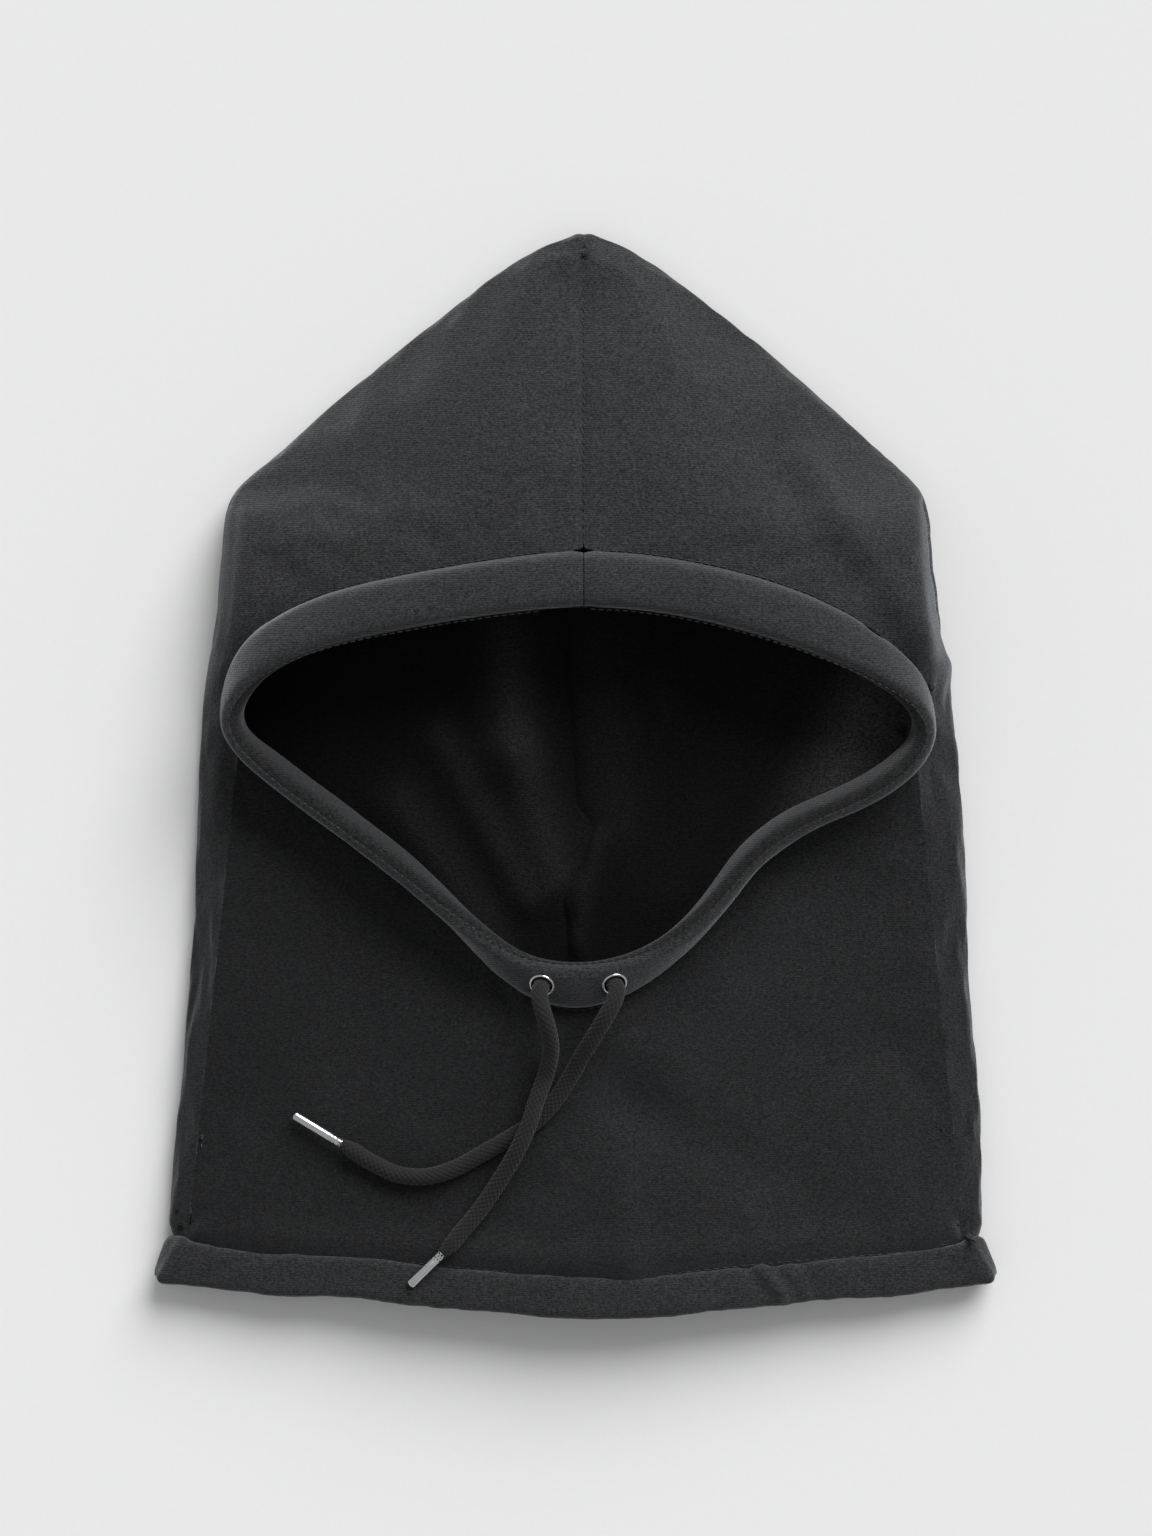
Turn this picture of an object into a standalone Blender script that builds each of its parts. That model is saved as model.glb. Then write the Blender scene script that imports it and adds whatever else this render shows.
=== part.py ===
"""A drawstring hood balaclava lying on its back, as separate sewn pieces.

Metres, +Z up.  The hem is at -Y, the crown at +Y and the back of the hood rests on Z = 0.
Lengths in the tables are millimetres and become metres through MM.
"""

import bpy
import numpy as np
from mathutils import Vector

MM = 0.001

# Fabric and trim
SHELL = 2.0             # outer fleece thickness
LINING = 1.0            # lining thickness
LAYER_GAP = 0.7         # air between shell and lining
SEAM_X = 3.2            # the sewn centre seam stands a little right of the middle
SEAM_GAP = 1.4          # groove that a seam leaves between two panels
SIDE_GAP = 2.4          # the neck panel stops this far short of the side seam, its lining further in
LINING_SIDE_GAP = 6.0
THREAD = 0.6            # sewing thread diameter
HEM_DEPTH = 4.2         # folded hem thickness
HEM_PUFF = 0.8          # how far the folded hem stands above the panel

# Drawcord and its trim
CORD = 6.5              # braided cord diameter
CORD_GAP = 0.3          # space between pieces that touch
CHANNEL = 10.0          # outer thickness of the cord channel round the face
CASING = 1.5            # casing wall
FACING = 1.2            # facing wall
EYELET_R = 5.2          # eyelet flange radius
EYELET_HOLE_R = 4.0
EYELET_WALL = 0.4
EYELET_SHARE = 0.6      # how far up the channel's width the eyelets sit
CASING_HOLE_R = 4.8
FLANGE = 0.6            # flange thickness
AGLET_R = 1.9
AGLET_HOLE_R = 1.1

# The rim of the face opening, from the left temple over the forehead and back under the chin.
# Each entry is the rim edge (x, y, z) and the foot of the cord channel below it (x, y, z).
RIM = [
    ((-138.5, 19, 43), (-136, 17.5, 21)),
    ((-131, 33.5, 46), (-138, 37, 26)),
    ((-117, 43, 48), (-130, 55, 34)),
    ((-95, 51, 49), (-103, 70.5, 40)),
    ((-66, 57, 50), (-68, 79, 44)),
    ((-32, 62.5, 50.5), (-32, 85, 46)),
    ((SEAM_X, 65.5, 51), (SEAM_X, 88.5, 46.5)),
    ((38, 62.5, 50.5), (38, 85.5, 46)),
    ((72, 54.5, 50), (76, 77, 44)),
    ((100, 45, 49), (108, 64, 40)),
    ((121, 35.5, 47.5), (131, 47, 33)),
    ((134, 27, 45.5), (139, 33, 26)),
    ((140, 15, 43), (137.5, 14.5, 21)),
    ((131, 0.5, 42), (127.6, 4.6, 20.5)),
    ((115, -10, 41), (111.6, -5.4, 20)),
    ((91, -20.5, 40.5), (87.8, -15.9, 20)),
    ((72, -33.5, 40), (68.8, -29.4, 20)),
    ((58, -50, 39), (56.2, -48.4, 20.5)),
    ((41, -64, 38.5), (42, -69, 21)),
    ((22, -72, 38), (24, -86, 24.5)),
    ((1, -75, 38), (1, -94, 27)),
    ((-20, -72.5, 38), (-23, -86.5, 24.5)),
    ((-37, -63.5, 38.5), (-38.5, -68.8, 21)),
    ((-55, -51, 39), (-53.2, -49.2, 20.5)),
    ((-77, -34, 40), (-73.6, -29.8, 20)),
    ((-102, -15.5, 41), (-98.4, -11, 20)),
    ((-125, 2, 42), (-121.4, 6.4, 20.5)),
]
PER_SPAN = 2            # rows of cells between two RIM entries, and between two outline rows
FOREHEAD = 6            # place in RIM of the centre seam
RIGHT_TEMPLE = 12
RIGHT_CORD_TURN = 19    # places in RIM where the hidden cord turns out to its eyelet
LEFT_CORD_TURN = 21
CHIN = (18, 23)         # stretch of RIM that the eyelets stand on
LEFT_EYELET_X = -12.4
RIGHT_EYELET_X = 14.4

# Outline of the hood, hem to temple: (left half width, right half width, y, back seam y).
NECK_ROWS = [(165, 165.2, -185, -190), (160.5, 163, -127, -130), (155, 158.7, -71, -75),
             (153.1, 157.1, -15, -22)]
# Fold edge of the crown, temple to apex:
# (edge x, y, z), (left half width, right half width, y), back seam y, crown lift.
CROWN_ROWS = [
    ((145.8, 18, 13), (151, 152, 19), 10, 0),
    ((143.2, 40, 23), (149, 149.8, 42), 28, 0),
    ((139.6, 62, 33), (146.3, 147.8, 66), 50, 1),
    ((139.2, 94, 28), (141.9, 143, 97), 74, 3),
    ((138, 107, 23), (139.8, 140.8, 109), 86, 5),
    ((134.4, 113.6, 19), (136.2, 138, 116), 96, 6),
    ((125, 121, 17), (128, 130.4, 124), 104, 7),
    ((113, 130.5, 15), (117.6, 121, 133), 114, 7),
    ((90, 149, 14), (97, 100.6, 151.6), 134, 7),
    ((63, 170, 13), (70.8, 76, 173), 154, 6),
    ((37, 190.5, 12.5), (43, 50, 194), 174, 4),
    ((14, 209, 12), (18.5, 25, 212), 196, 2),
]
CROWN_SEAM = [(104, 44), (124, 40.2), (146, 34.6), (168, 27.5), (191, 18.6)]    # (y, z) above the forehead
APEX = [(214, 12.5), (218, 10), (220, 6), (217.5, 0.8), (213, 0)]
SIDE_SEAM_HEM = (158.0, -185, 12.5)
FOLD_R = 6.0            # side fold: the fabric turns round at this height
FOLD_INSET = 2.2        # top of the side fold: this far in from the outline, and this high
FOLD_TOP = 10.2
NECK_SAG = 3.0          # the neck panel sinks this much between the chin and the hem
NECK_LINES = 11         # rows of the neck panel from rim to hem
NECK_EVEN = 0.45        # how far the neck panel's columns are evened out along the hem
NECK_CORNER = 9         # how sharply the side gap widens towards the neck panel's corners
# How far the inward direction turns from straight down, in degrees, for each guide line of the
# hood: front boundary, crown, fold, outline, flat edge, back, spine.  The columns are hood rows.
TURN_ROWS = [0, 10, 14, 22, 32]
LAYER_TURNS = [(32, 40, 12, 4, 0), (38, 44, 16, 5, 0), (52, 52, 48, 45, 45), (90,) * 5, (172,) * 5,
               (180,) * 5, (180,) * 5]
BACK_INSET = 7.0        # where the back lies flat, inside the silhouette

# Front hem groove from the left side seam to the right: (x, y, z).
HEM_LINE = [(-157, -187, 13.5), (-126, -191.5, 17), (-87, -193, 20), (-48, -197, 23), (4, -200.5, 25),
            (32, -200, 24.5), (66, -196.5, 22.5), (105, -193.5, 19), (133, -191.5, 16), (157, -187, 13.5)]
HEM_DROP = 16.0         # height of the hem band
HEM_FLARE = 6.0         # how far the band's corners kick out sideways

# Free ends of the drawcord beyond the eyelets: (x, y, z) along each one, then its aglet.
LEFT_TAIL = [(-13.9, -90.6, 43.4), (-12.2, -96.6, 43.6), (-10.4, -103.6, 40.2), (-10, -111, 34.8),
             (-12, -120, 30.6), (-15.6, -130, 31), (-19, -140.5, 32.8), (-23.6, -150.5, 31.4),
             (-30.5, -162.5, 27.2), (-38.8, -174.8, 25.5), (-46, -183.4, 25.8), (-53, -191.4, 26.4)]
RIGHT_TAIL = [(15.2, -90, 43.3), (12, -96, 43.6), (7.8, -103.2, 40.2), (3.2, -111, 34.2),
              (-1.6, -119.8, 29.2), (-7.6, -129.5, 26.7), (-15.4, -138.2, 25.6), (-25, -144.6, 24.8),
              (-37.2, -151.8, 24), (-49.2, -158.2, 23.6), (-60.6, -161.2, 23.3), (-71.6, -160.2, 22.7),
              (-82.4, -155.2, 21.9), (-93.6, -148.4, 21.2)]
LEFT_AGLET_END = (-66.6, -204.6, 25.2)
RIGHT_AGLET_END = (-113.4, -136.6, 19.2)


# ---------------------------------------------------------------- scene and materials

def clear_scene():
    for thing in list(bpy.data.objects):
        bpy.data.objects.remove(thing, do_unlink=True)


def new_collection(name):
    group = bpy.data.collections.new(name)
    bpy.context.scene.collection.children.link(group)
    return group


def material(name, colour, roughness, metallic=0.0):
    look = bpy.data.materials.new(name)
    look.use_nodes = True
    shader = look.node_tree.nodes["Principled BSDF"]
    shader.inputs["Base Color"].default_value = (*colour, 1.0)
    shader.inputs["Roughness"].default_value = roughness
    shader.inputs["Metallic"].default_value = metallic
    return look


def finish_object(thing, name, look, group):
    """Name an object, give it its material and move it to its collection."""
    thing.name = name
    thing.data.name = name
    thing.data.materials.clear()
    thing.data.materials.append(look)
    for old in list(thing.users_collection):
        old.objects.unlink(thing)
    group.objects.link(thing)
    return thing


# ---------------------------------------------------------------- curves and sheets

def smooth_line(points, per_span, closed=False):
    """Centripetal Catmull-Rom curve through the points, per_span samples to a span."""
    points = np.asarray(points, float)
    count = len(points)
    spans = count if closed else count - 1
    steps = [per_span] * spans if isinstance(per_span, int) else list(per_span)
    if closed:
        padded = np.vstack([points[-1], points, points[:2]])
    else:
        padded = np.vstack([2 * points[0] - points[1], points, 2 * points[-1] - points[-2]])
    line = []
    for span in range(spans):
        p0, p1, p2, p3 = padded[span:span + 4]
        t1 = np.linalg.norm(p1 - p0) ** 0.5
        t2 = t1 + np.linalg.norm(p2 - p1) ** 0.5
        t3 = t2 + np.linalg.norm(p3 - p2) ** 0.5
        for step in range(steps[span]):
            t = t1 + (t2 - t1) * step / steps[span]
            a1 = (t1 - t) / t1 * p0 + t / t1 * p1
            a2 = (t2 - t) / (t2 - t1) * p1 + (t - t1) / (t2 - t1) * p2
            a3 = (t3 - t) / (t3 - t2) * p2 + (t - t2) / (t3 - t2) * p3
            b1 = (t2 - t) / t2 * a1 + t / t2 * a2
            b2 = (t3 - t) / (t3 - t1) * a2 + (t - t1) / (t3 - t1) * a3
            line.append((t2 - t) / (t2 - t1) * b1 + (t - t1) / (t2 - t1) * b2)
    if not closed:
        line.append(points[-1])
    return np.array(line)


def evenly(line, step):
    """The same line with points at even steps along it."""
    length = np.concatenate([[0], np.cumsum(np.linalg.norm(np.diff(line, axis=0), axis=1))])
    marks = np.linspace(0, length[-1], round(length[-1] / step) + 1)
    return np.stack([np.interp(marks, length, line[:, k]) for k in range(3)], axis=1)


def loft(guides, across):
    """Grid of points through guide lines that have the same number of points."""
    rows = [smooth_line(row, across) for row in np.stack(guides, axis=1)]
    return np.array(rows)


def unit(vectors):
    """The vectors with length one."""
    lengths = np.linalg.norm(vectors, axis=-1, keepdims=True)
    return vectors / np.maximum(lengths, 1e-9)


def sunk(grid, depth):
    """The grid moved down its normals, which point left of the rows' direction."""
    normals = unit(np.cross(np.gradient(grid, axis=1), np.gradient(grid, axis=0)))
    return grid - normals * depth


def sheet(name, top, bottom, look, group, flip=False):
    """Closed sheet between an outer and an inner grid of the same shape."""
    rows, columns = top.shape[:2]
    points = np.vstack([top.reshape(-1, 3), bottom.reshape(-1, 3)]) * MM
    half = rows * columns
    faces = []

    def quad(a, b, c, d):
        faces.append((d, c, b, a) if flip else (a, b, c, d))

    for i in range(rows - 1):
        near = i * columns
        far = near + columns
        for j in range(columns - 1):
            quad(near + j, far + j, far + j + 1, near + j + 1)
            quad(half + near + j + 1, half + far + j + 1, half + far + j, half + near + j)
        last = columns - 1
        quad(half + near, half + far, far, near)
        quad(near + last, far + last, half + far + last, half + near + last)
    end = (rows - 1) * columns
    for j in range(columns - 1):
        quad(j, j + 1, half + j + 1, half + j)
        quad(half + end + j, half + end + j + 1, end + j + 1, end + j)
    mesh = bpy.data.meshes.new(name)
    mesh.from_pydata(points.tolist(), [], faces)
    mesh.validate()
    thing = bpy.data.objects.new(name, mesh)
    group.objects.link(thing)
    return finish_object(thing, name, look, group)


def tube(name, points, diameter, sides, look, group):
    """A cord or thread: a poly curve with a round bevel and filled ends."""
    data = bpy.data.curves.new(name, "CURVE")
    data.dimensions = "3D"
    data.bevel_depth = diameter / 2 * MM
    data.bevel_resolution = sides
    data.use_fill_caps = True
    data.resolution_u = 1
    spline = data.splines.new("POLY")
    spline.points.add(len(points) - 1)
    for place, point in zip(spline.points, points):
        place.co = (*(np.asarray(point) * MM), 1.0)
    thing = bpy.data.objects.new(name, data)
    group.objects.link(thing)
    return finish_object(thing, name, look, group)


def turned(name, profile, centre, axis, look, group, steps=28):
    """A ring or cap: a closed (radius, height) profile turned about its own Z, then aimed."""
    mesh = bpy.data.meshes.new(name)
    points = [(r * MM, 0.0, h * MM) for r, h in profile]
    edges = [(i, (i + 1) % len(points)) for i in range(len(points))]
    mesh.from_pydata(points, edges, [])
    thing = bpy.data.objects.new(name, mesh)
    group.objects.link(thing)
    screw = thing.modifiers.new("turn", "SCREW")
    screw.steps = steps
    screw.render_steps = steps
    screw.use_merge_vertices = True
    screw.merge_threshold = 0.00001
    thing.location = Vector(centre) * MM
    thing.rotation_euler = Vector(axis).to_track_quat("Z", "Y").to_euler()
    return finish_object(thing, name, look, group)


def cut_round_hole(target, centre, axis, radius, cutters):
    bpy.ops.mesh.primitive_cylinder_add(vertices=24, radius=radius * MM, depth=CHANNEL * MM,
                                        location=Vector(centre) * MM)
    cutter = bpy.context.object
    cutter.rotation_euler = Vector(axis).to_track_quat("Z", "Y").to_euler()
    for old in list(cutter.users_collection):
        old.objects.unlink(cutter)
    cutters.objects.link(cutter)
    cutter.name = f"cutter_{target.name}_{len(cutters.objects)}"
    cutter.hide_render = True
    cutter.display_type = "WIRE"
    cut = target.modifiers.new(cutter.name, "BOOLEAN")
    cut.object = cutter
    cut.operation = "DIFFERENCE"
    cut.solver = "EXACT"


# ---------------------------------------------------------------- the rim and the panels' grids

def rim_rings():
    """The rim edge, the channel's foot, and unit vectors across, along and out of the channel."""
    edge = smooth_line([pair[0] for pair in RIM], PER_SPAN, closed=True)
    foot = smooth_line([pair[1] for pair in RIM], PER_SPAN, closed=True)
    across = unit(edge - foot)
    middle = (edge + foot) / 2
    along = unit(np.roll(middle, -1, axis=0) - np.roll(middle, 1, axis=0))
    out = unit(np.cross(across, along))
    return edge, foot, across, along, out


def ring_slice(ring, first, last):
    """Points of a ring from one RIM entry to another, going on through the start if need be."""
    picks = np.arange(first * PER_SPAN, last * PER_SPAN + 1)
    return ring[picks % len(ring)]


def hood_grid(side, depth):
    """Left (-1) or right (+1) half of the hood, a depth inside its outer face."""
    _, foot, across, _, _ = rim_rings()
    border = foot - across * SEAM_GAP
    temple = border[0] if side < 0 else border[RIGHT_TEMPLE * PER_SPAN]
    hem = np.array([side * SIDE_SEAM_HEM[0], *SIDE_SEAM_HEM[1:]])
    shares = [(row[2] - hem[1]) / (temple[1] - hem[1]) for row in NECK_ROWS]
    side_seam = [hem + (temple - hem) * share for share in shares]
    seam_x = SEAM_X + side * SEAM_GAP / 2

    if side < 0:
        rim_part = ring_slice(border, 0, FOREHEAD)
    else:
        rim_part = ring_slice(border, FOREHEAD, RIGHT_TEMPLE)[::-1]
    rim_part = rim_part.copy()
    rim_part[-1, 0] = seam_x
    seam_part = smooth_line([rim_part[-1]] + [(seam_x, y, z) for y, z in CROWN_SEAM] + [(seam_x, *APEX[0])],
                            PER_SPAN)
    front = np.vstack([smooth_line(side_seam + [temple], PER_SPAN)[:-1], rim_part, seam_part[1:]])

    width = 0 if side < 0 else 1
    fold = [(side * (row[width] - FOLD_INSET), row[2], FOLD_TOP) for row in NECK_ROWS]
    fold += [(side * e[0], *e[1:]) for e, _, _, _ in CROWN_ROWS] + [(seam_x, *APEX[1])]
    outline = [(side * row[width], row[2], FOLD_R) for row in NECK_ROWS]
    outline += [(side * s[width], s[2], FOLD_R) for _, s, _, _ in CROWN_ROWS] + [(seam_x, *APEX[2])]
    backs = [row[3] for row in NECK_ROWS] + [c for _, _, c, _ in CROWN_ROWS] + [APEX[4][0]]
    spine = [(seam_x, c, 0) for c in backs]
    flat = []
    for place, centre in zip(outline[:-1], spine[:-1]):
        start = np.array([place[0], place[1], 0.0])
        flat.append(start + unit(np.array(centre) - start) * BACK_INSET)
    flat.append((seam_x, *APEX[3]))

    fold = smooth_line(fold, PER_SPAN)
    outline = smooth_line(outline, PER_SPAN)
    flat = smooth_line(flat, PER_SPAN)
    spine = smooth_line(spine, PER_SPAN)
    lifts = [0] * len(NECK_ROWS) + [lift for _, _, _, lift in CROWN_ROWS] + [0]
    lift = np.interp(np.arange(len(fold)), np.arange(len(lifts)) * PER_SPAN, lifts)
    crown = (front + fold) / 2 + np.outer(lift, (0, 0, 1))
    back = (flat + spine) / 2
    inward = unit((spine - outline) * (1, 1, 0))
    guides = []
    for guide, turn in zip((front, crown, fold, outline, flat, back, spine), LAYER_TURNS):
        steep = np.radians(np.interp(np.arange(len(fold)), TURN_ROWS, turn))[:, None]
        guides.append(guide + depth * (inward * np.sin(steep) - np.cos(steep) * np.array([0, 0, 1])))
    grid = loft(guides, [3, 3, 3, 2, 1, 1])
    grid[:, :, 2] = np.maximum(grid[:, :, 2], depth)
    grid[:, :, 0] = np.minimum(grid[:, :, 0], seam_x) if side < 0 else np.maximum(grid[:, :, 0], seam_x)
    return grid


def neck_grid(side_gap, depth):
    """Front of the neck from the rim down to the hem groove, a depth below its outer face."""
    _, foot, across, _, _ = rim_rings()
    border = foot - across * SEAM_GAP
    top = ring_slice(border, RIGHT_TEMPLE, len(RIM))[::-1].copy()
    shift = side_gap * np.linspace(1, -1, len(top)) ** NECK_CORNER
    hem = smooth_line(HEM_LINE, 6)
    spacing = np.concatenate([[0], np.cumsum(np.linalg.norm(np.diff(top, axis=0), axis=1))])
    spread = spacing / spacing[-1] * (1 - NECK_EVEN) + np.linspace(0, 1, len(top)) * NECK_EVEN
    length = np.concatenate([[0], np.cumsum(np.linalg.norm(np.diff(hem, axis=0), axis=1))])
    bottom = np.stack([np.interp(spread * length[-1], length, hem[:, k]) for k in range(3)], axis=1)
    rows = []
    for t in np.linspace(0, 1, NECK_LINES):
        row = top + (bottom - top) * t
        row[:, 0] += shift
        row[:, 2] -= depth + NECK_SAG * np.sin(np.pi * t) * np.sin(np.pi * spread) ** 0.5
        rows.append(row)
    return np.array(rows)


# ---------------------------------------------------------------- sub-parts

def make_hood_panels(looks, group):
    for side, name in ((-1, "left"), (1, "right")):
        flip = side > 0
        sheet(f"hood_{name}_panel", hood_grid(side, 0.0), hood_grid(side, SHELL), looks["fleece"],
              group, flip)
        sheet(f"hood_{name}_lining", hood_grid(side, SHELL + LAYER_GAP)[:-1],
              hood_grid(side, SHELL + LAYER_GAP + LINING)[:-1], looks["lining"], group, flip)


def make_neck_panels(looks, group):
    sheet("neck_front_panel", neck_grid(SIDE_GAP, 0.0), neck_grid(SIDE_GAP, SHELL), looks["fleece"], group)
    sheet("neck_front_lining", neck_grid(LINING_SIDE_GAP, SHELL + LAYER_GAP),
          neck_grid(LINING_SIDE_GAP, SHELL + LAYER_GAP + LINING), looks["lining"], group)


def hem_grid(line):
    """The hem line repeated downwards, flaring out at the corners."""
    rows = []
    for t in np.linspace(0, 1, 4):
        row = line.copy()
        row[:, 1] -= SEAM_GAP + HEM_DROP * t
        reach = np.abs(line[:, 0]) / np.abs(line[:, 0]).max()
        row[:, 0] += np.sign(line[:, 0]) * HEM_FLARE * t * reach ** 4
        rows.append(row)
    return np.array(rows)


def make_hem_bands(looks, group):
    """The folded hem: a front band under the neck panel and a back band round both sides."""
    front = [hem_grid(neck_grid(SIDE_GAP, depth)[-1]) for depth in (-HEM_PUFF, HEM_DEPTH)]
    sheet("hem_front_band", *front, looks["fleece"], group)
    back = [hem_grid(np.vstack([hood_grid(-1, depth)[0], hood_grid(1, depth)[0][::-1]]))
            for depth in (0.0, HEM_DEPTH)]
    sheet("hem_back_band", *back, looks["fleece"], group, flip=True)


def channel_grid(heights):
    """Ring grid across the cord channel; heights are (share of the width, distance out) pairs."""
    edge, foot, across, _, out = rim_rings()
    width = np.linalg.norm(edge - foot, axis=1, keepdims=True)
    columns = [foot + across * width * share + out * height for share, height in heights]
    return np.stack(columns, axis=1)


def open_at_seam(grid, gap, is_ring=True):
    """Cut a ring at the centre seam: it starts and ends either side of the forehead row."""
    if is_ring:
        grid = np.roll(grid, -FOREHEAD * PER_SPAN, axis=0)
        grid = np.concatenate([grid, grid[:1]])
    grid[0, :, 0] = SEAM_X + gap / 2
    grid[-1, :, 0] = SEAM_X - gap / 2
    return grid


def make_cord_channel(looks, group, cutters, eyelets):
    """Casing outside and facing inside: together they hold the drawcord round the face."""
    half = CHANNEL / 2
    outside = [(0.0, 1.6), (0.1, half - 1.1), (0.3, half - 0.1), (0.55, half), (0.8, half - 0.4),
               (0.94, half - 1.8), (1.0, 1.2)]
    inside = [(1.0, -1.2), (0.94, 1.8 - half), (0.8, 0.4 - half), (0.5, -half), (0.2, 0.2 - half),
              (0.04, -2.8)]
    outside = open_at_seam(channel_grid(outside), SEAM_GAP)
    casing = sheet("face_casing", outside, open_at_seam(sunk(outside, CASING), SEAM_GAP, False),
                   looks["fleece"], group, flip=True)
    for centre, axis in eyelets:
        cut_round_hole(casing, centre, axis, CASING_HOLE_R, cutters)
    inside = open_at_seam(channel_grid(inside), SEAM_GAP)
    sheet("face_facing", inside, open_at_seam(sunk(inside, FACING), SEAM_GAP, False), looks["lining"],
          group, flip=True)


def eyelet_places():
    """Centre of each eyelet on the casing's outer face, and its outward direction."""
    edge, foot, _, _, out = rim_rings()
    middle = foot + (edge - foot) * EYELET_SHARE
    chin = np.arange(CHIN[0] * PER_SPAN, CHIN[1] * PER_SPAN)
    places = []
    for x in (LEFT_EYELET_X, RIGHT_EYELET_X):
        order = chin[np.argsort(middle[chin, 0])]
        centre = [np.interp(x, middle[order, 0], middle[order, k]) for k in range(3)]
        axis = unit(np.array([np.interp(x, middle[order, 0], out[order, k]) for k in range(3)]))
        places.append((np.array(centre) + axis * CHANNEL / 2, axis))
    return places


def make_eyelets(looks, group, eyelets):
    """Each eyelet is a flanged barrel pressed through the casing's wall."""
    top = FLANGE + CORD_GAP
    foot = 0.2 - CASING
    outer = EYELET_HOLE_R + EYELET_WALL
    profile = [(EYELET_HOLE_R, top - 0.2), (EYELET_HOLE_R + 0.2, top), (EYELET_R - 0.3, top),
               (EYELET_R, top - FLANGE / 2), (EYELET_R, CORD_GAP), (outer, CORD_GAP), (outer, foot),
               (EYELET_HOLE_R, foot)]
    for (centre, axis), name in zip(eyelets, ("left", "right")):
        turned(f"eyelet_{name}", profile, centre, axis, looks["metal"], group)


def make_drawcord(looks, group, eyelets):
    """One braided cord: hidden in the channel, and free beyond each eyelet."""
    edge, foot, _, along, out = rim_rings()
    depth = (CHANNEL + CASING - FACING) / 2
    middle = (edge + foot) / 2 + out * (CHANNEL / 2 - depth)
    start = LEFT_CORD_TURN * PER_SPAN
    end = (RIGHT_CORD_TURN + len(RIM)) * PER_SPAN
    hidden = middle[np.arange(start, end + 1) % len(middle)]
    mouth_height = FLANGE + CORD_GAP
    turns = []
    for (centre, axis), place, sign in ((eyelets[0], start, 1), (eyelets[1], RIGHT_CORD_TURN * PER_SPAN, -1)):
        way = along[place] * sign
        way = unit(way - axis * np.dot(way, axis))
        pivot = centre + way * depth
        angles = np.radians([0, 18, 36, 54, 72, 90])
        turn = [pivot - axis * depth * np.cos(a) - way * depth * np.sin(a) for a in angles]
        turns.append(turn + [centre + axis * mouth_height])
    route = np.vstack([turns[0][::-1], hidden, turns[1]])
    tube("drawcord_in_channel", route, CORD, 2, looks["cord"], group)
    for (centre, axis), points, aglet_end, name in (
            (eyelets[0], LEFT_TAIL, LEFT_AGLET_END, "left"),
            (eyelets[1], RIGHT_TAIL, RIGHT_AGLET_END, "right")):
        mouth = centre + axis * (mouth_height + CORD_GAP)
        last = np.array(points[-1])
        way = unit(np.array(aglet_end) - last)
        tail = smooth_line([mouth, mouth + axis * CORD / 2] + points[:-1] + [last - way * CORD / 2, last], 8)
        tube(f"drawcord_{name}_end", evenly(tail, CORD / 2), CORD, 2, looks["cord"], group)
        make_aglet(f"aglet_{name}", last, np.array(aglet_end), looks, group)


def make_aglet(name, start, end, looks, group):
    """Metal tube crimped on the cord's end: an open mouth for the cord and a rounded tip."""
    axis = unit(end - start)
    length = np.linalg.norm(end - start) - CORD_GAP
    profile = [(AGLET_R - 0.4, length), (AGLET_R, length - 0.6), (AGLET_R, 0.0), (AGLET_HOLE_R, 0.0),
               (AGLET_HOLE_R, length)]
    turned(name, profile, start + axis * CORD_GAP, axis, looks["metal"], group, steps=16)


def make_stitching(looks, group):
    """Threads that close the seams: round the channel's foot, along its edge, crown and hem."""
    edge, foot, across, _, out = rim_rings()
    gap = np.full((len(foot), 1), SEAM_GAP / 2)
    seam = foot - across * gap
    order = np.roll(np.arange(len(foot)), -FOREHEAD * PER_SPAN)
    tube("casing_stitching", seam[order], THREAD, 0, looks["thread"], group)
    tube("edge_stitching", edge[order], THREAD, 0, looks["thread"], group)
    crown = [(SEAM_X, y, z - 1.0) for y, z in [(91, 46.0)] + CROWN_SEAM + [APEX[0]]]
    tube("crown_stitching", smooth_line(crown, 4), THREAD, 0, looks["thread"], group)
    hem = smooth_line(HEM_LINE, 3)[1:-1]
    hem[:, 1] -= SEAM_GAP / 2
    hem[:, 2] -= 0.8
    tube("hem_stitching", hem, THREAD, 0, looks["thread"], group)


def main():
    clear_scene()
    group = new_collection("balaclava")
    cutters = new_collection("cutters")
    looks = {
        "fleece": material("charcoal_fleece", (0.030, 0.032, 0.035), 0.95),
        "lining": material("black_lining", (0.012, 0.012, 0.013), 0.95),
        "cord": material("braided_cord", (0.022, 0.023, 0.025), 0.85),
        "metal": material("gunmetal", (0.55, 0.55, 0.56), 0.22, 1.0),
        "thread": material("black_thread", (0.015, 0.015, 0.017), 0.7),
    }
    eyelets = eyelet_places()
    make_hood_panels(looks, group)
    make_neck_panels(looks, group)
    make_hem_bands(looks, group)
    make_cord_channel(looks, group, cutters, eyelets)
    make_eyelets(looks, group, eyelets)
    make_drawcord(looks, group, eyelets)
    make_stitching(looks, group)


main()
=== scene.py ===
"""The looks of a drawstring hood balaclava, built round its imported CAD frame.

Metres, +Z up.  The balaclava lies on its back with its hem at -Y and its crown at +Y.
"""

import math

import bmesh
import bpy
import numpy as np
from mathutils import Matrix, Vector, noise
from mathutils.bvhtree import BVHTree
from mathutils.kdtree import KDTree


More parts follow.
